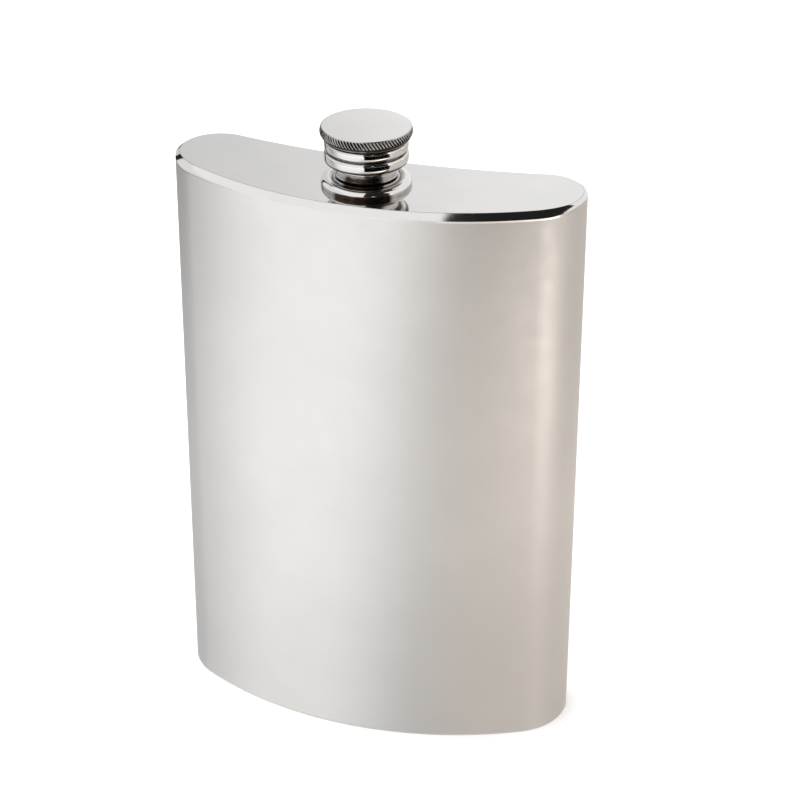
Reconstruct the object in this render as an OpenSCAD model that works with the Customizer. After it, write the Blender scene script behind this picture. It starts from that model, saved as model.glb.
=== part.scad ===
// Hip flask: a kidney-section pewter body with a turned screw cap.
// Millimetres. Z is up, the convex front faces -Y, and the origin is on the
// underside, straight below the axis of the neck and cap.

/* [Body] */
// Overall width, left to right
body_w = 90; // [86:1:94]
// Height from the underside to the flat top
body_h = 129; // [110:1:150]
// Thickness on the neck axis, from the convex front to the hollow back
body_t = 27; // [26:0.5:28]
// Radius of the convex front
front_r = 78.8; // [76:0.2:82]
// Corner radius next to the front
front_corner_r = 13.5; // [12.5:0.5:14.5]
// Corner radius next to the back
back_corner_r = 9; // [8.5:0.5:10]
// Thickness of the sheet walls
wall = 1; // [0.8:0.1:1.2]
// Thickness of the top plate
top_t = 1.6; // [1.6:0.1:2.2]
// Height of the polished bevel round the top plate
bevel_h = 1.2; // [0.8:0.1:1.4]
// How far the bevel leans inwards
bevel_w = 1.6; // [1:0.1:1.8]
// Thickness of the base plate
base_t = 1.4; // [1.2:0.1:2]
// Chamfer round the foot of the base plate
foot_chamfer = 0.5; // [0.3:0.1:0.8]

/* [Solder] */
// Leg of the solder fillets inside the plates
fillet = 1; // [0.6:0.1:1.2]
// Thinnest edge left on a solder fillet
feather = 0.2; // [0.1:0.1:0.3]
// Thickness of the solder strip behind each side joint
strip_t = 0.5; // [0.3:0.1:0.8]
// Width of the solder strip behind each side joint
strip_w = 4; // [3:0.5:6]

/* [Neck] */
// Radius of the mouth
mouth_r = 4.1; // [3.8:0.1:4.2]
// Outside radius of the neck tube under its thread
tube_r = 4.7; // [4.6:0.1:4.8]
// Height of the mouth above the top plate
mouth_h = 9; // [8.5:0.1:9.5]
// How far the tube reaches below the top plate
tube_tail = 1.4; // [1.3:0.1:3]
// Radius of the domed collar's centre line
collar_r = 8.1; // [8:0.02:8.2]
// Radius of the dome's round section
collar_dome_r = 1.4; // [1.3:0.05:1.5]
// Height of the flat seat inside the collar
collar_seat_h = 2; // [1.6:0.1:2.1]
// Outside radius of the seat
collar_seat_r = 6.95; // [6.7:0.05:7.1]

/* [Cap] */
// Height of the cap's lower edge above the top plate
cap_low_h = 2.3; // [2.2:0.1:2.6]
// Radius of the cap's waist
waist_r = 6.35; // [6.3:0.05:6.6]
// Radius of the two rings on the waist
waist_ring_r = 6.65; // [6.6:0.05:6.9]
// Radius of the core between the beads
core_r = 8; // [7.8:0.1:8.2]
// Outside radius of the lower bead
low_bead_r = 8.82; // [8.7:0.02:9]
// Outside radius of the upper bead
high_bead_r = 8.76; // [8.6:0.02:8.8]
// Radius at the foot of the knurled rim
rim_low_r = 9.35; // [9.2:0.05:9.45]
// Radius at the top of the knurled rim
rim_high_r = 9.6; // [9.45:0.05:9.65]
// Height of the foot of the knurled rim above the top plate
rim_low_h = 11.3; // [11.2:0.05:11.4]
// Height of the knurled rim under the top disc
rim_h = 1.15; // [1.05:0.05:1.25]
// Radius of the roll that rounds the rim's underside
rim_roll_r = 1.1; // [0.9:0.05:1.15]
// Number of slanted grooves round the rim and the disc's edge
grooves = 82; // [70:1:90]
// Side of the square tool that cuts a groove
groove_w = 0.3; // [0.2:0.02:0.32]
// Slant of the grooves from upright
groove_slant = 33; // [20:1:40]
// Radius of the top disc
disc_r = 9.65; // [9.6:0.05:9.8]
// Thickness of the top disc at its edge
disc_t = 0.5; // [0.4:0.05:0.8]
// Rise of the top disc's dome
dome_h = 0.4; // [0.2:0.05:0.6]
// Bore of the cap shell round its threaded insert
cap_bore_r = 5.75; // [5.7:0.05:5.8]
// Thickness of the cork washer
washer_t = 1.6; // [1.2:0.1:1.6]
// Radius of the cork washer
washer_r = 5.6; // [5.4:0.05:5.6]

/* [Thread] */
// Rise of the cap in one turn
pitch = 2; // [1.8:0.1:2.2]
// Depth of the thread
thread_d = 0.5; // [0.4:0.05:0.5]
// Gap left between the two threads
thread_gap = 0.15; // [0.12:0.01:0.2]
// Half the width of a thread ridge at its root
ridge_root = 0.7; // [0.6:0.05:0.75]
// Half the width of a thread ridge at its crest
ridge_crest = 0.25; // [0.15:0.05:0.3]
// Turns of thread on the neck
neck_turns = 2; // [1.5:0.25:2.25]
// Turns of thread in the cap
cap_turns = 2; // [1.5:0.25:2.25]

/* [Hidden] */

$fn = 240;
overlap = 0.01;
cut_over = 1;
arc_reach = 30;

// Centres of the five arcs of the kidney outline. The front arc and the back arc are
// both centred behind the flask; two corner arcs meet at each end's widest point.
front_c = [0, front_r - body_t / 2];
front_corner_x = body_w / 2 - front_corner_r;
end_y = front_c.y - sqrt(pow(front_r - front_corner_r, 2) - pow(front_corner_x, 2));
front_corner_c = [front_corner_x, end_y];
back_corner_c = [body_w / 2 - back_corner_r, end_y];
back_gap = body_t / 2 - end_y;
back_r = (pow(back_corner_c.x, 2) + pow(back_gap, 2) - pow(back_corner_r, 2))
    / (2 * (back_corner_r - back_gap));
back_c = [0, body_t / 2 + back_r];

// Rays from a corner's centre to where its arc runs into the front or back arc.
function unit(v) = v / norm(v);
front_ray = arc_reach * unit(front_corner_c - front_c);
back_ray = arc_reach * unit(back_c - back_corner_c);
out_ray = [arc_reach, 0];
function flip(p) = [-p.x, p.y];
mid_zone = [front_corner_c + front_ray, front_corner_c, back_corner_c, back_corner_c + back_ray,
    flip(back_corner_c + back_ray), flip(back_corner_c), flip(front_corner_c),
    flip(front_corner_c + front_ray)];
front_corner_zone = [front_corner_c, front_corner_c + front_ray, front_corner_c + out_ray];
back_corner_zone = [back_corner_c, back_corner_c + out_ray, back_corner_c + back_ray];

wall_top = body_h - top_t;
wall_h = wall_top - base_t;
strip_h = wall_h - 2 * fillet;

mouth_z = body_h + mouth_h;
tube_low = wall_top - tube_tail;
seam_low_z = base_t + fillet;

collar_lift = 0.45;
collar_root_h = 1;
rim_neck_r = 7.5;
bead_round = 0.9;
low_bead_h = [5.2, 7.76];
high_bead_h = [7.86, 10.1];
waist_ring_d = 0.3;
ring_h = 4.35;
cone_low_h = 4.55;
cone_high_h = 5.7;
rim_top_h = rim_low_h + rim_h;
washer_gap = 0.03;
washer_low_h = mouth_h + washer_gap;
ceiling_h = washer_low_h + washer_t + washer_gap;

crest_r = tube_r + thread_d;
insert_root_r = crest_r + thread_gap;
insert_crest_r = tube_r + thread_gap;
insert_recess = 0.5;
insert_low_h = cap_low_h + insert_recess;
insert_clear = 0.3;
insert_high_h = mouth_h - insert_clear;
thread_low_h = 3.9;
segments = 40;
root_sink = 0.15;
dome_facets = 1440;

// The outline, moved inwards by inset. Every arc keeps its centre.
module kidney(inset = 0) {
    difference() {
        intersection() {
            translate(front_c) circle(front_r - inset);
            polygon(mid_zone);
        }
        translate(back_c) circle(back_r + inset);
    }
    for (side = [0, 1]) mirror([side, 0]) {
        intersection() {
            translate(front_corner_c) circle(front_corner_r - inset);
            polygon(front_corner_zone);
        }
        intersection() {
            translate(back_corner_c) circle(back_corner_r - inset);
            polygon(back_corner_zone);
        }
    }
}

// A slab whose outline moves from inset low to inset high over its height, on true cones.
module kidney_taper(h, low, high) {
    difference() {
        intersection() {
            translate(front_c) cylinder(h = h, r1 = front_r - low, r2 = front_r - high);
            linear_extrude(h) polygon(mid_zone);
        }
        translate(back_c) cylinder(h = h, r1 = back_r + low, r2 = back_r + high);
    }
    for (side = [0, 1]) mirror([side, 0, 0]) {
        corner_taper(h, front_corner_c, front_corner_r, front_corner_zone, low, high);
        corner_taper(h, back_corner_c, back_corner_r, back_corner_zone, low, high);
    }
}

module corner_taper(h, centre, r, zone, low, high) {
    intersection() {
        translate(centre) cylinder(h = h, r1 = r - low, r2 = r - high);
        linear_extrude(h) polygon(zone);
    }
}

// The sheet wall seen from above, in front of or behind the two side joints.
module wall_half(is_front) {
    intersection() {
        difference() {
            kidney();
            kidney(wall);
        }
        translate([-body_w, is_front ? end_y - body_w : end_y]) square([2 * body_w, body_w]);
    }
}

module side_strip(side) {
    intersection() {
        difference() {
            kidney(wall);
            kidney(wall + strip_t);
        }
        translate([side > 0 ? 0 : -body_w, end_y - strip_w / 2]) square([body_w, strip_w]);
    }
}

// One helical thread ridge that fades in and out over its first and last half turn.
// It stands outwards from root_r when out is 1, and inwards when out is -1.
module ridge(root_r, turns, out) {
    steps = round(turns * segments);
    fade = segments / 2;
    function rise(i) = min(1, i / fade, (steps - i) / fade);
    function tip_r(i) = root_r + out * thread_d * rise(i);
    function low_w(i) = ridge_crest + (ridge_root - ridge_crest) * (1 + root_sink / thread_d);
    function ring(i) = let (a = 360 * i / segments, z = pitch * i / segments,
            deep = root_r - out * root_sink, tip = tip_r(i),
            tip_w = ridge_crest + (ridge_root - ridge_crest) * (1 - rise(i)))
        [for (p = [[deep, -low_w(i)], [tip, -tip_w], [tip, tip_w], [deep, low_w(i)]])
            [p[0] * cos(a), p[0] * sin(a), z + p[1]]];
    points = [for (i = [0:steps]) each ring(i)];
    last = 4 * steps;
    sides = [for (i = [0:steps - 1], k = [0:3]) let (a = 4 * i + k, b = 4 * i + (k + 1) % 4)
        each [[a, a + 4, b], [b, a + 4, b + 4]]];
    ends = [[0, 1, 2], [0, 2, 3], [last + 2, last + 1, last], [last + 3, last + 2, last]];
    flipped = [for (f = concat(sides, ends)) [f[2], f[1], f[0]]];
    polyhedron(points, out > 0 ? flipped : concat(sides, ends));
}

module front_panel() {
    color("gainsboro") translate([0, 0, base_t]) linear_extrude(wall_h) wall_half(true);
}

module back_panel() {
    color("gainsboro") translate([0, 0, base_t]) linear_extrude(wall_h) wall_half(false);
}

module left_seam() {
    color("slategray") translate([0, 0, seam_low_z]) linear_extrude(strip_h) side_strip(-1);
}

module right_seam() {
    color("slategray") translate([0, 0, seam_low_z]) linear_extrude(strip_h) side_strip(1);
}

module top_plate() {
    color("silver") difference() {
        union() {
            translate([0, 0, wall_top]) linear_extrude(top_t - bevel_h) kidney();
            translate([0, 0, body_h - bevel_h]) kidney_taper(bevel_h, 0, bevel_w);
        }
        translate([0, 0, wall_top - cut_over]) cylinder(h = top_t + 2 * cut_over, r = tube_r);
    }
}

module base_plate() {
    color("silver") {
        kidney_taper(foot_chamfer, foot_chamfer, 0);
        translate([0, 0, foot_chamfer]) linear_extrude(base_t - foot_chamfer) kidney();
    }
}

module top_solder() {
    color("slategray") translate([0, 0, wall_top - fillet]) difference() {
        linear_extrude(fillet) kidney(wall);
        kidney_taper(fillet, wall + feather, wall + fillet);
    }
}

module base_solder() {
    color("slategray") translate([0, 0, base_t]) difference() {
        linear_extrude(fillet) kidney(wall);
        kidney_taper(fillet, wall + fillet, wall + feather);
    }
}

module neck_tube() {
    color("darkgray") difference() {
        union() {
            translate([0, 0, tube_low]) cylinder(h = mouth_z - tube_low, r = tube_r);
            translate([0, 0, body_h + thread_low_h]) ridge(tube_r, neck_turns, 1);
        }
        translate([0, 0, tube_low - cut_over])
            cylinder(h = mouth_z - tube_low + 2 * cut_over, r = mouth_r);
    }
}

module neck_collar() {
    color("silver") translate([0, 0, body_h]) rotate_extrude() {
        translate([tube_r, 0]) square([collar_seat_r - tube_r, collar_seat_h]);
        translate([tube_r, 0]) square([collar_r - tube_r, collar_root_h]);
        intersection() {
            translate([collar_r, collar_lift]) circle(collar_dome_r);
            translate([tube_r, 0]) square(2 * collar_dome_r + collar_r - tube_r);
        }
    }
}

module neck_solder() {
    color("slategray") translate([0, 0, wall_top]) rotate_extrude()
        polygon([[tube_r, -fillet], [tube_r + feather, -fillet], [tube_r + fillet, 0], [tube_r, 0]]);
}

// A tall round-edged bead, from one height to another, whose face has this radius.
module bead(r, span) {
    for (h = [span[0] + bead_round, span[1] - bead_round]) translate([r - bead_round, h])
        circle(bead_round);
    translate([r - 2 * bead_round, span[0] + bead_round])
        square([2 * bead_round, span[1] - span[0] - 2 * bead_round]);
}

// The turned outside of the cap, from its lower edge to the top of the knurled rim.
module cap_outline() {
    translate([cap_bore_r, cap_low_h]) square([waist_r - cap_bore_r, rim_top_h - cap_low_h]);
    translate([waist_ring_r - waist_ring_d, cap_low_h + waist_ring_d]) circle(waist_ring_d);
    translate([waist_ring_r - waist_ring_d, ring_h]) circle(waist_ring_d);
    polygon([[cap_bore_r, cone_low_h], [waist_r, cone_low_h], [core_r, cone_high_h],
        [core_r, rim_low_h + overlap], [cap_bore_r, rim_low_h + overlap]]);
    bead(low_bead_r, low_bead_h);
    bead(high_bead_r, high_bead_h);
    translate([rim_low_r - rim_roll_r, rim_low_h]) circle(rim_roll_r);
    polygon([[0, ceiling_h], [rim_neck_r, ceiling_h], [rim_neck_r, rim_low_h],
        [rim_low_r, rim_low_h], [rim_high_r, rim_top_h], [0, rim_top_h]]);
}

// The slanted V grooves across the rim and the disc's edge, cut by a square bar on its corner.
module rim_grooves() {
    lean = atan((rim_high_r - rim_low_r) / rim_h);
    middle_h = (rim_h + disc_t) / 2;
    bar = 2 * middle_h / cos(groove_slant) + groove_w;
    for (i = [0:grooves - 1]) rotate(i * 360 / grooves)
        translate([rim_low_r + middle_h * tan(lean), 0, rim_low_h + middle_h])
            rotate([-groove_slant, 0, 0]) rotate([0, lean, 0]) rotate([0, 0, 45])
                cube([groove_w, groove_w, bar], center = true);
}

module cap_shell() {
    color("lightgray") translate([0, 0, body_h]) difference() {
        rotate_extrude() cap_outline();
        rim_grooves();
    }
}

module cap_top_disc() {
    dome_r = (pow(disc_r, 2) + pow(dome_h, 2)) / (2 * dome_h);
    color("gainsboro") translate([0, 0, body_h]) difference() {
        translate([0, 0, rim_top_h]) rotate_extrude() intersection() {
            square([disc_r, disc_t + dome_h]);
            translate([0, disc_t + dome_h - dome_r]) circle(dome_r, $fn = dome_facets);
        }
        rim_grooves();
    }
}

module cap_thread_insert() {
    insert_h = insert_high_h - insert_low_h;
    color("goldenrod") {
        translate([0, 0, body_h + insert_low_h]) difference() {
            cylinder(h = insert_h, r = cap_bore_r);
            translate([0, 0, -cut_over]) cylinder(h = insert_h + 2 * cut_over, r = insert_root_r);
        }
        translate([0, 0, body_h + thread_low_h]) rotate([0, 0, 180])
            ridge(insert_root_r, cap_turns, -1);
    }
}

module cap_washer() {
    color("peru") translate([0, 0, body_h + washer_low_h]) cylinder(h = washer_t, r = washer_r);
}

front_panel();
back_panel();
left_seam();
right_seam();
top_plate();
base_plate();
top_solder();
base_solder();
neck_tube();
neck_collar();
neck_solder();
cap_shell();
cap_top_disc();
cap_thread_insert();
cap_washer();
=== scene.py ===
import math

import bmesh
import bpy
from mathutils import Matrix, Vector


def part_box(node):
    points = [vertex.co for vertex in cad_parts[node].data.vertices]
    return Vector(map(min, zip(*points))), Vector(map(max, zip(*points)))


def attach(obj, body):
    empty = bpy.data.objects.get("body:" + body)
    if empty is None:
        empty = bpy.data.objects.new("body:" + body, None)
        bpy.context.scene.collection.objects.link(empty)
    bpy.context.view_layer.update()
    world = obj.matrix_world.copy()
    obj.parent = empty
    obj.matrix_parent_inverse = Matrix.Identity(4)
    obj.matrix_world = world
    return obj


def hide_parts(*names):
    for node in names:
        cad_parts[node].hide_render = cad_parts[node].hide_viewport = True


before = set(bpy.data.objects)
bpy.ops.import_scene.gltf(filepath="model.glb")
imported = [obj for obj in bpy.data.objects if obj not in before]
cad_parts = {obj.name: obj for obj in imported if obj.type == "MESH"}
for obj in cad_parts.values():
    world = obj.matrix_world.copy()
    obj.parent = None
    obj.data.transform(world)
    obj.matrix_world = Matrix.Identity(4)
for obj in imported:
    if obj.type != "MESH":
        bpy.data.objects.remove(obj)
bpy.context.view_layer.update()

MM = 0.001

# ---------------------------------------------------------------- sizes, in metres
# The kidney outline, as in the CAD: six arcs. An inset changes their radii and not their centres.
FRONT_R = 78.8 * MM
FRONT_CORNER_R = 13.5 * MM
BACK_CORNER_R = 9 * MM
WALL = 1 * MM

# Patina and painted shade on the polished metal. An amount over 1 is dark in its thinnest patches too.
# The painted shade lies mostly round one side of the neck, in degrees, and thins out over a range of
# degrees from it.
FULL_PATINA_AND_SHADE = 1.4
SHADE_SIDE = 12
SHADE_THINS = (24, 46)
SHADE_BACK_SHARE = 0.25

half_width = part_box("base_plate")[1].x
front_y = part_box("front_panel")[0].y
back_mid_y = -front_y
plate_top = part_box("top_plate")[1].z
wall_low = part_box("front_panel")[0].z
wall_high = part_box("front_panel")[1].z
mouth_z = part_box("neck_tube")[1].z
cap_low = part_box("cap_shell")[0].z
rim_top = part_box("cap_shell")[1].z
disc_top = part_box("cap_top_disc")[1].z

front_centre = Vector((0, front_y + FRONT_R))
front_corner_x = half_width - FRONT_CORNER_R
end_y = front_centre.y - math.sqrt((FRONT_R - FRONT_CORNER_R) ** 2 - front_corner_x ** 2)
back_corner_x = half_width - BACK_CORNER_R
back_gap = back_mid_y - end_y
BACK_R = (back_corner_x ** 2 + back_gap ** 2 - BACK_CORNER_R ** 2) / (2 * (BACK_CORNER_R - back_gap))
back_centre = Vector((0, back_mid_y + BACK_R))


# ---------------------------------------------------------------- mesh code
def make_piece(name, points, faces, sharp_degrees=32):
    """A mesh object whose faces look outwards, smooth but for its sharp edges."""
    mesh = bpy.data.meshes.new(name)
    mesh.from_pydata([tuple(p) for p in points], [], faces)
    shape = bmesh.new()
    shape.from_mesh(mesh)
    bmesh.ops.recalc_face_normals(shape, faces=shape.faces)
    shape.to_mesh(mesh)
    shape.free()
    mesh.polygons.foreach_set("use_smooth", [True] * len(mesh.polygons))
    mesh.set_sharp_from_angle(angle=math.radians(sharp_degrees))
    piece = bpy.data.objects.new(name, mesh)
    bpy.context.scene.collection.objects.link(piece)
    return piece


def patina_and_shade(piece, amounts):
    """Gives each vertex its amount of patina and painted shade, which the polished metal shows."""
    layer = piece.data.attributes.new("patina_and_shade", "FLOAT", "POINT")
    layer.data.foreach_set("value", amounts)


def degrees_away(x, y, side):
    """Degrees round the neck from a point to a side, where side 0 faces -Y and side 90 faces +X."""
    away = abs(math.degrees(math.atan2(x, -y)) - side)
    return min(away, 360 - away)


def front_shade_share(point):
    """How much of the painted shade stays at this side of the neck. It is 1 at the front and less
    at the ends and the back."""
    away = degrees_away(point.x, point.y, SHADE_SIDE)
    return 1 - (1 - SHADE_BACK_SHARE) * rise(away, *SHADE_THINS)


def recess_patina_and_shade(point, recesses):
    """The patina and painted shade that recesses get at a point of a turned piece. Each recess is a
    radius and a height above the plate, a reach and a strength, with the lengths in mm."""
    r = math.hypot(point.x, point.y) / MM
    h = (point.z - plate_top) / MM
    return max(0, *(strength * (1 - math.hypot(r - recess_r, h - recess_h) / reach)
                    for recess_r, recess_h, reach, strength in recesses))


def finish_piece(piece, body, material, slot, *nodes):
    """Gives a piece its material and its body, and hides the CAD nodes that it replaces. Its slot is not
    used.
    """
    piece.data.materials.append(material)
    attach(piece, body)
    if nodes:
        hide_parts(*nodes)


def grid_faces(rows, columns, closed_rows=False):
    """Quads between rows of points, where each row is a closed loop. With closed_rows, the last
    row joins the first."""
    faces = []
    for i in range(rows if closed_rows else rows - 1):
        for k in range(columns):
            a, b = i * columns + k, i * columns + (k + 1) % columns
            up = ((i + 1) % rows - i) * columns
            faces.append((a, b, b + up, a + up))
    return faces


def arc(centre, radius, start, end, steps):
    """Points (r, z) on an arc, with angles in degrees from +r towards +z."""
    turns = [math.radians(start + (end - start) * i / steps) for i in range(steps + 1)]
    return [(centre[0] + radius * math.cos(t), centre[1] + radius * math.sin(t)) for t in turns]


def rise(value, low, high):
    """A smooth step from 0 at low to 1 at high."""
    t = min(1, max(0, (value - low) / (high - low)))
    return t * t * (3 - 2 * t)


def plain_ring(r, z, columns=128):
    """A round loop of points about the neck axis."""
    turns = [2 * math.pi * k / columns for k in range(columns)]
    return [(r * math.cos(t), r * math.sin(t), z) for t in turns]


def lathe(name, profile, columns=160):
    """Turns an (r, z) profile round the neck axis. A point on the axis becomes one vertex."""
    points, rings = [], []
    for r, z in profile:
        if r < 1e-7:
            rings.append([len(points)])
            points.append((0, 0, z))
            continue
        rings.append(list(range(len(points), len(points) + columns)))
        points += plain_ring(r, z, columns)
    faces = []
    pairs = list(zip(rings, rings[1:]))
    if len(rings[0]) > 1:
        pairs.append((rings[-1], rings[0]))
    for low, high in pairs:
        for k in range(columns):
            n = (k + 1) % columns
            if len(low) == 1:
                faces.append((low[0], high[n], high[k]))
            elif len(high) == 1:
                faces.append((low[k], low[n], high[0]))
            else:
                faces.append((low[k], low[n], high[n], high[k]))
    return make_piece(name, points, faces)


def outline_samples():
    """(centre, radius, angle) round the kidney. Angle 0 faces -Y and 90 degrees faces +X."""
    lean = math.atan2(front_corner_x, front_centre.y - end_y)
    tuck = math.pi + math.atan2(back_corner_x, back_centre.y - end_y)
    quarter = math.pi / 2
    right_front = Vector((front_corner_x, end_y))
    right_back = Vector((back_corner_x, end_y))
    left_front = Vector((-front_corner_x, end_y))
    left_back = Vector((-back_corner_x, end_y))
    stretches = [
        (front_centre, FRONT_R, -lean, lean, 72),
        (right_front, FRONT_CORNER_R, lean, quarter, 30),
        (right_back, BACK_CORNER_R, quarter, tuck, 44),
        (back_centre, -BACK_R, tuck, 2 * math.pi - tuck, 64),
        (left_back, BACK_CORNER_R, 2 * math.pi - tuck, 3 * quarter, 44),
        (left_front, FRONT_CORNER_R, 3 * quarter, 2 * math.pi - lean, 30),
    ]
    samples = []
    for centre, radius, start, end, steps in stretches:
        for i in range(steps):
            samples.append((centre, radius, start + (end - start) * i / steps))
    return samples


OUTLINE = outline_samples()


def facing(sample):
    """Degrees that the wall faces at a sample, from -180 to 180, where 0 is -Y and 90 is +X."""
    return (math.degrees(sample[2]) + 180) % 360 - 180


def outline_point(sample, inset):
    """The point of the outline at a sample, moved in from the wall's face by an inset."""
    centre, radius, angle = sample
    normal = Vector((math.sin(angle), -math.cos(angle)))
    return centre + (radius - inset) * normal


def outline_loop(inset, z):
    """The whole outline as a loop of points, moved in by an inset, at a height."""
    return [(*outline_point(sample, inset), z) for sample in OUTLINE]


def foot_round(radius, steps=6):
    """(inset, z) points up the rounded foot of the body, from its flat underside to its wall."""
    turns = [math.pi / 2 * i / steps for i in range(steps + 1)]
    return [(radius * (1 - math.sin(t)), radius * (1 - math.cos(t))) for t in turns]


# ---------------------------------------------------------------- the body
def wall_panel(name, front):
    """One half of the sheet wall, as a closed shell from one side joint to the other."""
    quarter = math.pi / 2
    if front:
        samples = [s for s in OUTLINE if s[1] in (FRONT_R, FRONT_CORNER_R)]
        start = next(i for i, s in enumerate(samples) if abs(s[2] - 3 * quarter) < 1e-9)
        samples = samples[start:] + samples[:start]
        samples.append((Vector((front_corner_x, end_y)), FRONT_CORNER_R, quarter))
    else:
        samples = [s for s in OUTLINE if s[1] in (BACK_CORNER_R, -BACK_R)]
        samples.append((Vector((-back_corner_x, end_y)), BACK_CORNER_R, 3 * quarter))
    rows = 25
    points = []
    for i in range(rows):
        z = wall_low + (wall_high - wall_low) * i / (rows - 1)
        points += [(*outline_point(s, 0), z) for s in samples]
        points += [(*outline_point(s, WALL), z) for s in reversed(samples)]
    columns = 2 * len(samples)
    faces = grid_faces(rows, columns)
    last = (rows - 1) * columns
    for k in range(len(samples) - 1):
        a, b, c, d = k, k + 1, columns - 2 - k, columns - 1 - k
        faces.append((a, b, c, d))
        faces.append((last + a, last + b, last + c, last + d))
    return make_piece(name, points, faces)


def bevel_loop(inset, drop, lip=0.0):
    """A loop on the bevel, this far in from its foot and down from the plate's top, where the
    bevel is at its widest. It narrows from the front wall round both ends to the back."""
    loop = []
    for sample in OUTLINE:
        share = 1 - (1 - BEVEL_BACK_SHARE) * rise(abs(facing(sample)), *BEVEL_NARROWS)
        loop.append((*outline_point(sample, inset * share + lip), plate_top - drop * share))
    return loop


def plate(name, loops, hole_r, hole_low, hole_high):
    """A plate of the kidney outline. The loops run from the underside's edge to the top's
    edge, and hole_r is the radius of a hole on the neck axis, or 0."""
    columns = len(OUTLINE)
    hole_columns = 96
    mesh = bmesh.new()
    verts = [mesh.verts.new(point) for loop in loops for point in loop]
    for face in grid_faces(len(loops), columns):
        mesh.faces.new([verts[i] for i in face])
    if hole_r:
        hole = [[mesh.verts.new(point) for point in plain_ring(hole_r, z, hole_columns)]
                for z in (hole_low, hole_high)]
        for k in range(hole_columns):
            n = (k + 1) % hole_columns
            mesh.faces.new((hole[0][k], hole[0][n], hole[1][n], hole[1][k]))
    for end, ring in enumerate((verts[:columns], verts[-columns:])):
        if hole_r:
            edges = [mesh.edges.get((ring[k], ring[(k + 1) % columns])) for k in range(columns)]
            edges += [mesh.edges.get((hole[end][k], hole[end][(k + 1) % hole_columns]))
                      for k in range(hole_columns)]
            bmesh.ops.triangle_fill(mesh, edges=edges, use_beauty=True)
        else:
            mesh.faces.new(ring)
    mesh.verts.index_update()
    points = [vert.co[:] for vert in mesh.verts]
    faces = [[vert.index for vert in face.verts] for face in mesh.faces]
    mesh.free()
    return make_piece(name, points, faces, sharp_degrees=24)


# ---------------------------------------------------------------- materials
def new_material(name):
    """A material with a Principled shader, and the piece's own coordinates for its textures."""
    material = bpy.data.materials.new(name)
    material.use_nodes = True
    tree = material.node_tree
    tree.nodes.clear()
    output = tree.nodes.new("ShaderNodeOutputMaterial")
    shader = tree.nodes.new("ShaderNodeBsdfPrincipled")
    tree.links.new(shader.outputs["BSDF"], output.inputs["Surface"])
    place = tree.nodes.new("ShaderNodeTexCoord")
    return material, tree, shader, place.outputs["Object"]


def noise(tree, place, scale, detail, roughness=0.55):
    """A noise of this many waves a metre."""
    node = tree.nodes.new("ShaderNodeTexNoise")
    node.inputs["Scale"].default_value = scale
    node.inputs["Detail"].default_value = detail
    node.inputs["Roughness"].default_value = roughness
    tree.links.new(place, node.inputs["Vector"])
    return node.outputs["Fac"]


def ramp(tree, value, stops):
    """A colour that follows a value through stops of (position, colour)."""
    node = tree.nodes.new("ShaderNodeValToRGB")
    elements = node.color_ramp.elements
    while len(elements) < len(stops):
        elements.new(0.5)
    for element, (at, colour) in zip(elements, stops):
        element.position = at
        element.color = (*colour, 1)
    tree.links.new(value, node.inputs["Fac"])
    return node.outputs["Color"]


def spread(tree, value, low, high):
    """Maps the middle of a noise's range to the range from low to high."""
    node = tree.nodes.new("ShaderNodeMapRange")
    node.inputs["From Min"].default_value = 0.3
    node.inputs["From Max"].default_value = 0.7
    node.inputs["To Min"].default_value = low
    node.inputs["To Max"].default_value = high
    tree.links.new(value, node.inputs["Value"])
    return node.outputs["Result"]


def bump(tree, shader, height, distance, strength, before=None):
    """Relief of a distance in metres, on top of an earlier bump where there is one."""
    node = tree.nodes.new("ShaderNodeBump")
    node.inputs["Strength"].default_value = strength
    node.inputs["Distance"].default_value = distance
    tree.links.new(height, node.inputs["Height"])
    if before is not None:
        tree.links.new(before, node.inputs["Normal"])
    tree.links.new(node.outputs["Normal"], shader.inputs["Normal"])
    return node.outputs["Normal"]


def satin_pewter(name, paler=0.0):
    """Satin grey metal with a fine grain, slightly uneven in tone and polish."""
    material, tree, shader, place = new_material(name)
    shades = [(at, tuple(part + paler for part in shade)) for at, shade in
              ((0.3, (0.625, 0.615, 0.60)), (0.7, (0.66, 0.65, 0.635)))]
    tree.links.new(ramp(tree, noise(tree, place, 45, 3), shades), shader.inputs["Base Color"])
    shader.inputs["Metallic"].default_value = 1.0
    tree.links.new(spread(tree, noise(tree, place, 260, 5), 0.31, 0.37), shader.inputs["Roughness"])
    grain = noise(tree, place, 2600, 3, 0.7)
    slow = noise(tree, place, 60, 2)
    first = bump(tree, shader, slow, 0.00006, 0.35)
    bump(tree, shader, grain, 0.00002, 0.25, first)
    return material


def mix_colours(tree, amount, first, second):
    """Goes from the first colour to the second as the amount goes from 0 to 1."""
    node = tree.nodes.new("ShaderNodeMix")
    node.data_type = "RGBA"
    tree.links.new(amount, node.inputs["Factor"])
    for socket, colour in (("A_Color", first), ("B_Color", second)):
        tree.links.new(colour, next(i for i in node.inputs if i.identifier == socket))
    return next(o for o in node.outputs if o.identifier == "Result_Color")


def arithmetic(tree, first, second, operation="MULTIPLY"):
    """A product or a sum of two values, kept from 0 to 1."""
    node = tree.nodes.new("ShaderNodeMath")
    node.operation = operation
    node.use_clamp = True
    for slot, value in zip(node.inputs, (first, second)):
        if isinstance(value, float):
            slot.default_value = value
        else:
            tree.links.new(value, slot)
    return node.outputs["Value"]


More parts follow.
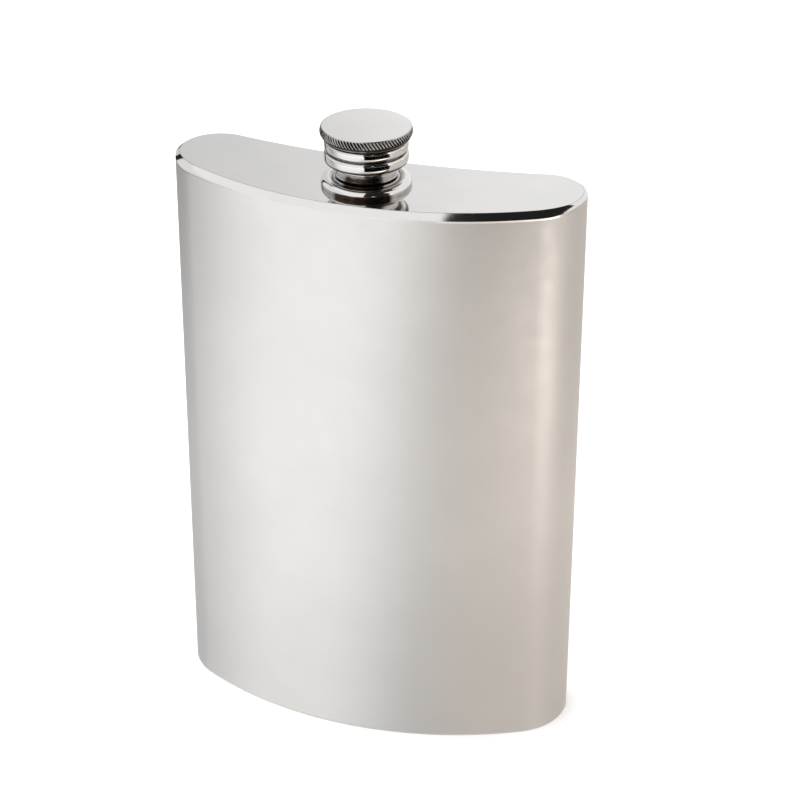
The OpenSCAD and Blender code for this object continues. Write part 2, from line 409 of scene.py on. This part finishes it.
def polished_pewter():
    """Bright metal, darkened to a dark brown, and made rougher, by the patina and painted shade on its
    vertices, in patches.
    """
    material, tree, shader, place = new_material("polished_pewter")
    tone = ramp(tree, noise(tree, place, 120, 3), [(0.3, (0.63, 0.625, 0.61)), (0.7, (0.66, 0.65, 0.64))])
    # The amount of patina and painted shade on each vertex, broken into patches.
    recess = tree.nodes.new("ShaderNodeAttribute")
    recess.attribute_name = "patina_and_shade"
    patches = spread(tree, noise(tree, place, 650, 4), 0.75, 1.35)
    amount = arithmetic(tree, recess.outputs["Fac"], patches)
    # The dark brown that the patina and painted shade give.
    dark_patina_and_shade = ramp(tree, noise(tree, place, 900, 3),
                   [(0.3, (0.018, 0.012, 0.008)), (0.7, (0.06, 0.042, 0.03))])
    tree.links.new(mix_colours(tree, amount, tone, dark_patina_and_shade), shader.inputs["Base Color"])
    shader.inputs["Metallic"].default_value = 1.0
    shine = spread(tree, noise(tree, place, 400, 4), 0.05, 0.10)
    dulled = arithmetic(tree, amount, 0.3)
    tree.links.new(arithmetic(tree, shine, dulled, "ADD"), shader.inputs["Roughness"])
    bump(tree, shader, noise(tree, place, 350, 2), 0.00003, 0.2)
    return material


def solder():
    """Dull, lumpy metal."""
    material, tree, shader, place = new_material("solder")
    tone = noise(tree, place, 500, 5)
    tree.links.new(ramp(tree, tone, [(0.3, (0.34, 0.34, 0.34)), (0.7, (0.56, 0.56, 0.55))]),
                   shader.inputs["Base Color"])
    shader.inputs["Metallic"].default_value = 1.0
    tree.links.new(spread(tree, noise(tree, place, 900, 4), 0.38, 0.6), shader.inputs["Roughness"])
    bump(tree, shader, noise(tree, place, 700, 5), 0.0002, 0.6)
    return material


def brass():
    """Yellow turned metal."""
    material, tree, shader, place = new_material("brass")
    tone = noise(tree, place, 300, 4)
    tree.links.new(ramp(tree, tone, [(0.3, (0.66, 0.46, 0.18)), (0.7, (0.82, 0.62, 0.30))]),
                   shader.inputs["Base Color"])
    shader.inputs["Metallic"].default_value = 1.0
    tree.links.new(spread(tree, noise(tree, place, 1200, 3), 0.16, 0.3), shader.inputs["Roughness"])
    bump(tree, shader, noise(tree, place, 3000, 2), 0.00002, 0.3)
    return material


def cork():
    """Brown cells with dark borders."""
    material, tree, shader, place = new_material("cork")
    cells = tree.nodes.new("ShaderNodeTexVoronoi")
    cells.inputs["Scale"].default_value = 1100
    tree.links.new(place, cells.inputs["Vector"])
    tree.links.new(ramp(tree, cells.outputs["Distance"], [
        (0.05, (0.60, 0.38, 0.20)), (0.5, (0.50, 0.30, 0.15)), (0.85, (0.20, 0.10, 0.05))]),
        shader.inputs["Base Color"])
    tree.links.new(spread(tree, noise(tree, place, 1500, 4), 0.75, 0.95), shader.inputs["Roughness"])
    bump(tree, shader, cells.outputs["Distance"], 0.0002, 0.5)
    return material


SATIN = satin_pewter("satin_pewter")
DISC_SATIN = satin_pewter("disc_satin", 0.07)
POLISHED = polished_pewter()
SOLDER = solder()
BRASS = brass()
CORK = cork()


# ---------------------------------------------------------------- body pieces
# The bevel's size at the front, and how it narrows as the wall turns away, in degrees.
BEVEL_IN = 1.6 * MM
BEVEL_HIGH = 1.2 * MM
BEVEL_BULGE = 0.03 * MM
BEVEL_NARROWS = (35, 80)
BEVEL_BACK_SHARE = 0.5
# The fine dark line along the plate's edge.
EDGE_LINE = 0.15 * MM
EDGE_DARKENING = 0.4
FOOT_R = 0.5 * MM


def build_body():
    """The two walls, the bevelled top plate and the base."""
    front = wall_panel("front_wall", True)
    finish_piece(front, "flask", SATIN, "satin_pewter", "front_panel")
    back = wall_panel("back_wall", False)
    finish_piece(back, "flask", SATIN, "satin_pewter", "back_panel")

    steps = 10
    slope = math.hypot(BEVEL_IN, BEVEL_HIGH)
    loops = [outline_loop(0, wall_high)]
    for i in range(steps + 1):
        t = i / steps
        out = BEVEL_BULGE * 4 * t * (1 - t)
        loops.append(bevel_loop(max(0, BEVEL_IN * t - out * BEVEL_HIGH / slope),
                                max(0, BEVEL_HIGH * (1 - t) - out * BEVEL_IN / slope)))
    edge_ring = len(loops) - 1
    loops.append(bevel_loop(BEVEL_IN, 0, EDGE_LINE))
    hole_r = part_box("neck_tube")[1].x - THREAD_DEEP
    top = plate("bevelled_top", loops, hole_r, wall_high, plate_top)
    columns = len(OUTLINE)
    # The ring along the plate's edge is darkened into the fine dark line.
    patina_and_shade(top, [EDGE_DARKENING if k // columns == edge_ring else 0 for k in range(len(top.data.vertices))])
    finish_piece(top, "flask", POLISHED, "polished_pewter", "top_plate")

    profile = foot_round(FOOT_R) + [(0, wall_low)]
    base = plate("base", [outline_loop(inset, z) for inset, z in profile], 0, 0, 0)
    finish_piece(base, "flask", SATIN, "satin_pewter", "base_plate")


# ---------------------------------------------------------------- neck and collar
TUBE_R = 4.7 * MM
MOUTH_R = 4.1 * MM
LIP_R = 0.2 * MM
THREAD_DEEP = 0.5 * MM
THREAD_START = plate_top + 3.9 * MM
THREAD_TURNS = 2
PITCH = 2 * MM
RIDGE_ROOT = 0.7 * MM
RIDGE_CREST = 0.25 * MM
COLLAR_R = 8.1 * MM
COLLAR_BORE = TUBE_R + 0.01 * MM
COLLAR_DOME = 1.4 * MM
COLLAR_LIFT = 0.45 * MM
COLLAR_SEAT = 2.0 * MM
COLLAR_SEAT_R = 6.95 * MM
COLLAR_SEAT_ROUND = 0.25 * MM
# Degrees round the section of the dome, from outwards to upwards: its ends, where the painted shade of
# the foot thins out, and where the painted shade of the seat begins.
COLLAR_DOME_SPAN = (-18, 138)
COLLAR_FOOT_TILT = (12, 26)
COLLAR_SEAT_TILT = (92, 112)


def ridge_height(angle, z, start_angle):
    """How far the thread's ridge stands out at an angle and height, from 0 to 1. It fades in
    and out over half a turn at its ends."""
    best = 0.0
    for lap in range(-1, THREAD_TURNS + 2):
        along = (angle - start_angle) / (2 * math.pi) % 1 + lap
        if not 0 <= along <= THREAD_TURNS:
            continue
        fade = min(1, along / 0.5, (THREAD_TURNS - along) / 0.5)
        away = abs(z - THREAD_START - PITCH * along)
        edge = (RIDGE_ROOT - away) / (RIDGE_ROOT - RIDGE_CREST)
        best = max(best, min(fade, max(0, edge)))
    return best


def threaded_rows(root_r, out, low, high, start_angle, columns=128, rows=110):
    """Loops up a threaded wall. The ridge stands outwards where out is 1 and inwards where it
    is -1."""
    loops = []
    for i in range(rows + 1):
        z = low + (high - low) * i / rows
        loop = []
        for k in range(columns):
            a = 2 * math.pi * k / columns
            r = root_r + out * THREAD_DEEP * ridge_height(a, z, start_angle)
            loop.append((r * math.cos(a), r * math.sin(a), z))
        loops.append(loop)
    return loops


def loops_piece(name, loops, sharp_degrees=32):
    """A closed ring of loops, each with the same number of points."""
    columns = len(loops[0])
    points = [p for loop in loops for p in loop]
    return make_piece(name, points, grid_faces(len(loops), columns, closed_rows=True), sharp_degrees)


def build_neck():
    """The threaded neck, with its rounded lip, and the collar round its foot."""
    tube_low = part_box("neck_tube")[0].z
    lip_low = mouth_z - LIP_R
    loops = [plain_ring(MOUTH_R, tube_low), plain_ring(TUBE_R, tube_low)]
    loops += threaded_rows(TUBE_R, 1, tube_low + 0.1 * MM, lip_low, 0)
    loops += [plain_ring(TUBE_R - (1 - math.cos(t)) * LIP_R, lip_low + math.sin(t) * LIP_R)
              for t in (math.pi / 6, math.pi / 3, math.pi / 2)]
    loops += [plain_ring(MOUTH_R + (1 - math.sin(t)) * LIP_R, lip_low + math.cos(t) * LIP_R)
              for t in (0.01, math.pi / 6, math.pi / 3, math.pi / 2)]
    finish_piece(loops_piece("threaded_neck", loops), "flask", POLISHED, "polished_pewter", "neck_tube")

    dome = arc((COLLAR_R, plate_top + COLLAR_LIFT), COLLAR_DOME, *COLLAR_DOME_SPAN, 52)
    seat_z = plate_top + COLLAR_SEAT
    seat_centre = (COLLAR_SEAT_R - COLLAR_SEAT_ROUND, seat_z - COLLAR_SEAT_ROUND)
    seat = arc(seat_centre, COLLAR_SEAT_ROUND, 0, 90, 6)
    collar = lathe("collar", [(COLLAR_BORE, plate_top)] + dome + seat + [(COLLAR_BORE, seat_z)])
    paint_collar_shade(collar)
    finish_piece(collar, "flask", POLISHED, "polished_pewter", "neck_collar")


def paint_collar_shade(collar):
    """Painted shade: the collar's crest is left bright, and its foot and the seat inside it are painted
    dark.
    """
    amounts = []
    for vertex in collar.data.vertices:
        out = math.hypot(vertex.co.x, vertex.co.y) - COLLAR_R
        tilt = math.degrees(math.atan2(vertex.co.z - plate_top - COLLAR_LIFT, out))
        dark = max(1 - rise(tilt, *COLLAR_FOOT_TILT), rise(tilt, *COLLAR_SEAT_TILT))
        amounts.append(FULL_PATINA_AND_SHADE * dark * front_shade_share(vertex.co))
    patina_and_shade(collar, amounts)


# ---------------------------------------------------------------- the cap
CAP_BORE = 5.75 * MM
CAP_CEILING = plate_top + 10.66 * MM
INSERT_ROOT_R = 5.35 * MM
WAIST_R = 6.35 * MM
WAIST_LOW = plate_top + 3.1 * MM
WAIST_HIGH = plate_top + 3.7 * MM
RING_R = 0.3 * MM
RING_OUT = 6.65 * MM
HIGH_RING = plate_top + 4.35 * MM
CONE_LOW = (6.45 * MM, plate_top + 4.7 * MM)
CONE_HIGH = (7.0 * MM, plate_top + 5.15 * MM)
# A bead is the radius and the height of its middle, its depth and half its height.
LOW_BEAD = (7.72 * MM, 6.48 * MM, 1.1 * MM, 1.28 * MM)
HIGH_BEAD = (7.66 * MM, 9.02 * MM, 1.1 * MM, 1.14 * MM)
# The power of a bead's rounded face, below and above its middle, and how it leans in upwards.
BEAD_SQUARE = (2.8, 4)
BEAD_TAPER = math.tan(math.radians(2.5))
# How far round its section a bead is followed, in degrees each way from its middle.
BEAD_TURN = 87.3
RIM_LOW_R = 9.35 * MM
RIM_LOW = plate_top + 11.3 * MM
RIM_ROLL = 1.1 * MM
RIM_ROUND = 1.5 * MM
RIM_TILT = 24
GROOVES = 82
GROOVE_DEEP = 0.26 * MM
GROOVE_WIDE = 1.2
GROOVE_SLANT = math.radians(33)
RIM_INNER = RIM_LOW_R - 2 * GROOVE_DEEP
DISC_R = 9.65 * MM
DISC_EDGE = 0.5 * MM
DISC_ROLL = 0.22 * MM
DISC_SHOULDER = rim_top + DISC_EDGE + 0.02 * MM
# Patina and painted shade in recesses: on the cone, at the lower bead's foot, between the beads, above
# them, under the rim and on its lip.
CAP_RECESSES = ((6.8, 4.92, 0.6, 2.2), (8.65, 5.5, 0.62, 1.5), (8.62, 8.0, 0.55, 1.3),
                (7.8, 10.2, 0.9, 1.5), (8.4, 10.6, 0.9, 2.0), (9.3, 11.1, 0.7, 1.5))
# Painted shade on the lower edge of the cap and its waist, mostly at the front.
WAIST_RECESSES = ((6.5, 2.3, 0.9, 2.0), (6.35, 3.2, 1.0, 1.5))
# The rim's painted shade: all round it and down its grooves, and a painted dark reflection on its left
# side, in degrees.
RIM_SHADE = 0.25
GROOVE_SHADE = 1.15
LEFT_DARK_REFLECTION = 0.5
LEFT_SIDE = -75
LEFT_THINS = (15, 50)


def bead(r, h, deep, half):
    """A turned bead with a flattish face, from its lower root to its upper one."""
    steps = 30
    points = []
    for i in range(-steps, steps + 1):
        turn = math.radians(BEAD_TURN * i / steps)
        power = 2 / BEAD_SQUARE[i > 0]
        z = math.copysign(abs(math.sin(turn)) ** power, turn)
        points.append((r + deep * math.cos(turn) ** power - half * z * BEAD_TAPER,
                       plate_top + h + half * z))
    return points


def cap_profile():
    """The turned shell of the cap, from its ceiling down the bore and up the outside."""
    ring_x = RING_OUT - RING_R
    points = [(0, CAP_CEILING), (CAP_BORE, CAP_CEILING), (CAP_BORE, cap_low)]
    points += arc((ring_x, cap_low + RING_R), RING_R, -90, 80, 10)
    points += [(WAIST_R, WAIST_LOW), (WAIST_R, WAIST_HIGH)]
    points += arc((ring_x, HIGH_RING), RING_R, -75, 75, 10)
    points += [CONE_LOW, CONE_HIGH]
    points += bead(*LOW_BEAD)
    points += bead(*HIGH_BEAD)
    points += arc((RIM_LOW_R - RIM_ROLL, RIM_LOW), RIM_ROLL, -112, 0, 20)
    points += [(RIM_INNER, RIM_LOW), (RIM_INNER, rim_top), (0, rim_top)]
    return points


def rim_profile():
    """(r, z, cut) up the rounded edge of the cap, where cut is how deep the grooves are, 0 to 1."""
    centre = (DISC_R - RIM_ROUND, RIM_LOW + RIM_ROUND * math.sin(math.radians(RIM_TILT)))
    band = arc(centre, RIM_ROUND, -RIM_TILT, RIM_TILT + 5, 16)
    roll_z = rim_top + DISC_EDGE - DISC_ROLL
    shoulder = arc((band[-1][0] - DISC_ROLL, roll_z), DISC_ROLL, 30, 90, 5)
    return [(r, z, 1.0) for r, z in band] + [(r, z, 0.0) for r, z in shoulder]


def knurled_rim():
    """The band of slanted teeth round the top of the cap."""
    per_tooth = 10
    columns = GROOVES * per_tooth
    rings = rim_profile()
    rim_low = rings[0][1]
    loops = [plain_ring(RIM_INNER, rim_low, columns)]
    patina_and_shade_amounts = [1.0] * columns
    for rim_r, z, cut in rings:
        shift = -math.tan(GROOVE_SLANT) * (z - rim_low) / rim_r
        loop = []
        for k in range(columns):
            a = 2 * math.pi * k / columns + shift
            wave = abs(2 * (k / per_tooth % 1) - 1)
            groove = cut * max(0, 1 - wave * GROOVE_WIDE)
            r = rim_r - GROOVE_DEEP * groove
            x, y = r * math.cos(a), r * math.sin(a)
            loop.append((x, y, z))
            # Painted shade all round and down the grooves, and a painted dark reflection on the left
            # side.
            left = 1 - rise(degrees_away(x, y, LEFT_SIDE), *LEFT_THINS)
            patina_and_shade_amounts.append(min(1, RIM_SHADE + GROOVE_SHADE * groove + LEFT_DARK_REFLECTION * left))
        loops.append(loop)
    loops.append(plain_ring(RIM_INNER, rings[-1][1], columns))
    patina_and_shade_amounts += [0.0] * columns
    rim = loops_piece("knurled_rim", loops, 50)
    patina_and_shade(rim, patina_and_shade_amounts)
    return rim


def disc_profile():
    """The domed disc, whose stem fills the rim and whose edge lies on the rim's top."""
    steps = 24
    stem_r = RIM_INNER - 0.05 * MM
    flat_r = rim_profile()[-1][0]
    dome_r = flat_r - 0.02 * MM
    profile = [(0, rim_top), (stem_r, rim_top), (stem_r, DISC_SHOULDER - 0.05 * MM),
               (flat_r, DISC_SHOULDER - 0.04 * MM), (dome_r, DISC_SHOULDER)]
    for i in range(1, steps + 1):
        r = dome_r * (1 - i / steps)
        profile.append((r, disc_top - (disc_top - DISC_SHOULDER) * (r / flat_r) ** 2))
    return profile


def washer_profile():
    """The washer fills the CAD node's box, but for its chamfered edges."""
    low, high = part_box("cap_washer")
    chamfer = 0.15 * MM
    return [(0, low.z), (high.x - chamfer, low.z), (high.x, low.z + chamfer),
            (high.x, high.z - chamfer), (high.x - chamfer, high.z), (0, high.z)]


def build_cap():
    """The turned shell, its rim and disc, the threaded liner and the cork washer."""
    shell = lathe("cap_body", cap_profile(), 192)
    # Patina and painted shade in the recesses, and painted shade on the lower edge and the waist.
    patina_and_shade_amounts = []
    for vertex in shell.data.vertices:
        waist = front_shade_share(vertex.co) * recess_patina_and_shade(vertex.co, WAIST_RECESSES)
        patina_and_shade_amounts.append(min(FULL_PATINA_AND_SHADE, max(recess_patina_and_shade(vertex.co, CAP_RECESSES), waist)))
    patina_and_shade(shell, patina_and_shade_amounts)
    finish_piece(shell, "cap", POLISHED, "polished_pewter", "cap_shell")
    finish_piece(knurled_rim(), "cap", POLISHED, "polished_pewter", "cap_shell")
    disc = lathe("cap_disc", disc_profile(), 192)
    finish_piece(disc, "cap", DISC_SATIN, "satin_pewter", "cap_top_disc")

    insert_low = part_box("cap_thread_insert")[0].z
    insert_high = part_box("cap_thread_insert")[1].z
    loops = [plain_ring(CAP_BORE, insert_high), plain_ring(CAP_BORE, insert_low)]
    loops += threaded_rows(INSERT_ROOT_R, -1, insert_low, insert_high, math.pi)
    finish_piece(loops_piece("cap_thread", loops), "cap", BRASS, "brass", "cap_thread_insert")

    washer = lathe("cork_washer", washer_profile(), 96)
    finish_piece(washer, "washer", CORK, "cork", "cap_washer")


# ---------------------------------------------------------------- carried-over CAD nodes
def paint_nodes():
    """The solder strips and fillets show the CAD mesh, so they only get a material."""
    for node in ("left_seam", "right_seam", "top_solder", "base_solder", "neck_solder"):
        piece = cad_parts[node]
        piece.data.materials.clear()
        piece.data.materials.append(SOLDER)


# ---------------------------------------------------------------- studio
# The camera's azimuth, elevation and roll in degrees, its distance from the point that it looks
# at, and where that point is, right of and above the middle of the body as the camera sees them.
CAMERA_TURN = (17.634, 28.686, 0.181)
CAMERA_FAR = 530.59 * MM
CAMERA_AIM = (7.128 * MM, 11.616 * MM)
CAMERA_LENS = 108.41
# The camera's azimuth, rounded, that the painted floor reflection is laid out for.
VIEW_AZIMUTH = 17.6
# The rest of the studio, in metres and degrees.
TABLE_R = 0.30
FLOOR_LIFT = 0.4 * MM
FLOOR_RINGS = (0.3, 1.0, 3.0, 9.0)
ROOM_R = 4.0
ROOM_SPAN = (-150, 125)
BACK_FAR = 2.2
BACK_HIGH = 3.4
BACK_SPAN = (134, 232)
BACK_LIGHT = 1.17
BACK_DULLER = 0.30
BACK_DULLS = (192, 206)
TENT_EDGE = 10.5
TENT_DEEP = 1.05
TENT_WIDE = 1.5
TENT_HIGH = 1.5
OVER_LONG = 1.93
LEFT_LONG = 2.3
RIGHT_FAR = 1.3
UP = (0, 0, 1)
WARM = (1, 0.95, 0.89)


def make_camera():
    """The camera at the photograph's angle."""
    azimuth, elevation, roll = (math.radians(turn) for turn in CAMERA_TURN)
    back = Vector((math.sin(azimuth) * math.cos(elevation),
                   -math.cos(azimuth) * math.cos(elevation), math.sin(elevation)))
    level = Vector((math.cos(azimuth), math.sin(azimuth), 0))
    upright = back.cross(level)
    right = math.cos(roll) * level + math.sin(roll) * upright
    up = back.cross(right)
    aim = Vector((0, 0, plate_top / 2)) + CAMERA_AIM[0] * right + CAMERA_AIM[1] * up
    data = bpy.data.cameras.new("camera")
    data.sensor_width = 36
    data.lens = CAMERA_LENS
    data.clip_start = 0.01
    camera = bpy.data.objects.new("camera", data)
    turn = Matrix((right, up, back)).transposed().to_4x4()
    camera.matrix_world = Matrix.Translation(aim + CAMERA_FAR * back) @ turn
    bpy.context.scene.collection.objects.link(camera)
    bpy.context.scene.camera = camera


def direction(azimuth, elevation=0):
    """The unit vector towards an azimuth and an elevation, where azimuth 0 is -Y and 90 is +X."""
    a, e = math.radians(azimuth), math.radians(elevation)
    return Vector((math.sin(a) * math.cos(e), -math.cos(a) * math.cos(e), math.sin(e)))


def panel(name, corner, along, upward, width, height, radiance, colour=(1, 1, 1)):
    """A flat softbox of an even radiance, from a lower corner, along its foot and up its edge.
    It shines to the left of the way along, seen with up upwards."""
    along = Vector(along).normalized()
    upward = Vector(upward)
    upward = (upward - upward.dot(along) * along).normalized()
    back = along.cross(upward)
    data = bpy.data.lights.new(name, "AREA")
    data.shape = "RECTANGLE"
    data.size, data.size_y = width, height
    data.energy = radiance * width * height * math.pi
    data.color = colour
    lamp = bpy.data.objects.new(name, data)
    turn = Matrix((along, upward, back)).transposed().to_4x4()
    middle = Vector(corner) + along * width / 2 + upward * height / 2
    lamp.matrix_world = Matrix.Translation(middle) @ turn
    lamp.visible_camera = False
    bpy.context.scene.collection.objects.link(lamp)


def make_world():
    """Pale to the camera and to matt surfaces, and dark to the metal, which then reflects only
    the panels and cards."""
    world = bpy.data.worlds.new("studio")
    bpy.context.scene.world = world
    world.use_nodes = True
    tree = world.node_tree
    tree.nodes.clear()
    output = tree.nodes.new("ShaderNodeOutputWorld")
    pale = tree.nodes.new("ShaderNodeBackground")
    pale.inputs["Color"].default_value = (1, 1, 1, 1)
    pale.inputs["Strength"].default_value = 1.12
    dark = tree.nodes.new("ShaderNodeBackground")
    dark.inputs["Color"].default_value = (0.02, 0.02, 0.02, 1)
    light_path = tree.nodes.new("ShaderNodeLightPath")
    mix = tree.nodes.new("ShaderNodeMixShader")
    tree.links.new(light_path.outputs["Is Glossy Ray"], mix.inputs["Fac"])
    tree.links.new(pale.outputs["Background"], mix.inputs[1])
    tree.links.new(dark.outputs["Background"], mix.inputs[2])
    tree.links.new(mix.outputs["Shader"], output.inputs["Surface"])


def make_floor():
    """The plain pale floor, in rings that widen outwards."""
    material, tree, shader, place = new_material("pale_floor")
    tone = noise(tree, place, 6, 3)
    tree.links.new(ramp(tree, tone, [(0.3, (0.86, 0.86, 0.86)), (0.7, (0.88, 0.88, 0.88))]),
                   shader.inputs["Base Color"])
    tree.links.new(spread(tree, noise(tree, place, 40, 3), 0.75, 0.85), shader.inputs["Roughness"])
    shader.inputs["Specular IOR Level"].default_value = 0.0
    columns = 64
    points = [(0, 0, 0)]
    faces = [(0, 1 + k, 1 + (k + 1) % columns) for k in range(columns)]
    for i, r in enumerate(FLOOR_RINGS):
        points += plain_ring(r, 0, columns)
        if i > 0:
            inner = 1 + (i - 1) * columns
            for k in range(columns):
                a, b = inner + k, inner + (k + 1) % columns
                faces.append((a, b, b + columns, a + columns))
    floor = make_piece("floor", points, faces)
    floor.data.materials.append(material)


def stage_card(name, mesh):
    """Adds a mesh that only the metal sees."""
    card = bpy.data.objects.new(name, mesh)
    bpy.context.scene.collection.objects.link(card)
    card.visible_camera = card.visible_diffuse = card.visible_shadow = False


def glow_card(name, points, faces, colours):
    """A glowing card with a colour at each point."""
    mesh = bpy.data.meshes.new(name)
    mesh.from_pydata(points, [], faces)
    shade = mesh.attributes.new("glow", "FLOAT_COLOR", "POINT")
    shade.data.foreach_set("color", [part for colour in colours for part in (*colour, 1)])
    material = bpy.data.materials.new(name)
    material.use_nodes = True
    material.cycles.emission_sampling = "NONE"
    tree = material.node_tree
    tree.nodes.clear()
    output = tree.nodes.new("ShaderNodeOutputMaterial")
    light = tree.nodes.new("ShaderNodeEmission")
    value = tree.nodes.new("ShaderNodeAttribute")
    value.attribute_name = "glow"
    tree.links.new(value.outputs["Color"], light.inputs["Color"])
    tree.links.new(light.outputs["Emission"], output.inputs["Surface"])
    mesh.materials.append(material)
    stage_card(name, mesh)


def painted_floor_reflection_colour(angle, far):
    """Painted colour of the floor's reflection out from the wall whose normal has this angle, where far
    is 0 at the wall and 1 at a distance of TABLE_R. It paints the front softbox's light on the floor
    before the front wall, and the right one's warmer light beside the right corner."""
    halfway = rise(far, 0, 0.3) * (1 - rise(far, 0.35, 0.8))
    base = 0.62 + 0.08 * rise(angle, -60, -35) + (0.10 + 0.05 * rise(angle, 8, 24)) * halfway
    base -= 0.12 * far * (1 - rise(angle, -45, -20))
    before_front = rise(angle, -36, -14) * (1 - rise(angle, 12 * far - 7, 13 + 8 * far))
    front = (0.43 + 0.34 * far) * before_front
    corner = (0.09 + 0.72 * rise(far, 0.15, 0.75)) * math.exp(-((angle - 40) / 12.5) ** 2)
    strength = base + front + corner

    # The painted floor reflection is brighter towards the table's edge, and ends there, where the dark
    # gap shows.
    before_gap = rise(angle, 13.5, 14.5) * (1 - rise(angle, 49, 51))
    extra = (0.30 + 0.25 * rise(angle, 26, 36)) * rise(far, 0.6, 0.9) + 0.4 * rise(far, 0.82, 0.92)
    strength *= (1 + extra * before_gap) * (1 - before_gap * rise(far, 0.95, 1.05))
    # On the left it goes on past the edge, a little duller.
    strength *= 1 - 0.16 * (1 - rise(angle, 12, 15)) * rise(far, 0.6, 1.1)
    warm = rise(angle, 4, 24)
    return tuple(strength * (1 + warm * tint) for tint in (0.06, -0.02, -0.095))


def painted_floor_reflection():
    """A painted reflection of the floor's light and shade, on a glowing card that only the metal sees.
    Each strip runs out from the wall the way a mirror there would look."""
    fars = [0.1 * i for i in range(16)] + [3.3]
    seen = sorted([sample for sample in OUTLINE if abs(facing(sample) - VIEW_AZIMUTH) < 89],
                  key=facing)
    points, colours, faces = [], [], []
    for sample in seen:
        look = direction(2 * facing(sample) - VIEW_AZIMUTH)
        foot = outline_point(sample, 2 * MM).to_3d() + Vector((0, 0, FLOOR_LIFT))
        for far in fars:
            points.append(foot + far * TABLE_R * look)
            colours.append(painted_floor_reflection_colour(facing(sample), far))
    rows = len(fars)
    for k in range(len(seen) - 1):
        for a in range(k * rows, (k + 1) * rows - 1):
            faces.append((a, a + rows, a + rows + 1, a + 1))
    glow_card("painted_floor_reflection", points, faces, colours)


def studio_back():
    """The pale wall behind the table. It is duller towards the left, as the top of the flask shows."""
    steps = 50
    points, colours, faces = [], [], []
    for i in range(steps + 1):
        azimuth = BACK_SPAN[0] + (BACK_SPAN[1] - BACK_SPAN[0]) * i / steps
        strength = BACK_LIGHT - BACK_DULLER * rise(azimuth, *BACK_DULLS)
        foot = direction(azimuth) * BACK_FAR
        points += [foot, foot + Vector((0, 0, BACK_HIGH))]
        colours += [(strength, strength, strength)] * 2
    for i in range(0, 2 * steps, 2):
        faces.append((i, i + 2, i + 3, i + 1))
    glow_card("studio_back", points, faces, colours)


def dark_room():
    """The dark floor beyond the table's edge, which only the metal sees."""
    steps = 40
    lift = Vector((0, 0, FLOOR_LIFT / 2))
    turns = [ROOM_SPAN[0] + (ROOM_SPAN[1] - ROOM_SPAN[0]) * i / steps for i in range(steps + 1)]
    points = [direction(turn) * far + lift for far in (TABLE_R, ROOM_R) for turn in turns]
    faces = [(i, i + 1, steps + i + 2, steps + i + 1) for i in range(steps)]
    mesh = bpy.data.meshes.new("room_floor")
    mesh.from_pydata(points, [], faces)
    material = bpy.data.materials.new("room_floor")
    material.use_nodes = True
    shader = material.node_tree.nodes["Principled BSDF"]
    shader.inputs["Base Color"].default_value = (0.02, 0.02, 0.02, 1)
    shader.inputs["Roughness"].default_value = 1.0
    shader.inputs["Specular IOR Level"].default_value = 0.0
    mesh.materials.append(material)
    stage_card("room_floor", mesh)


def make_lights():
    """A tent of softboxes on the left, whose right edge is the sharp line down the cap, and a
    warmer softbox on the right. Between them the room is dark but for a small lamp."""
    out = direction(TENT_EDGE)
    rightward = Vector((-out.y, out.x, 0))
    foot = out * TENT_DEEP - rightward * TENT_WIDE
    roof = foot + Vector((0, 0, TENT_HIGH))
    panel("front_box", foot, rightward, UP, TENT_WIDE, TENT_HIGH, radiance=1.2)
    panel("over_box", roof, rightward, -out, TENT_WIDE, OVER_LONG, radiance=1.2)
    panel("left_box", foot - out * LEFT_LONG, out, UP, LEFT_LONG, TENT_HIGH, radiance=1.05)
    backward = (0.2, 1, 0)
    strip_at, box_at = direction(78) * RIGHT_FAR, direction(83) * RIGHT_FAR
    panel("right_strip", strip_at, backward, UP, width=0.13, height=0.7, radiance=1.7)
    panel("right_box", box_at, backward, UP, width=1.75, height=2.2, radiance=1.2, colour=WARM)
    lamp_at = direction(33, 26) * 1.2
    panel("small_lamp", lamp_at, (0.8, 0.6, 0), UP, width=0.10, height=0.08, radiance=3.5)


make_camera()
build_body()
build_neck()
build_cap()
paint_nodes()
make_world()
make_floor()
painted_floor_reflection()
studio_back()
dark_room()
make_lights()
bpy.context.scene.view_settings.view_transform = "Standard"
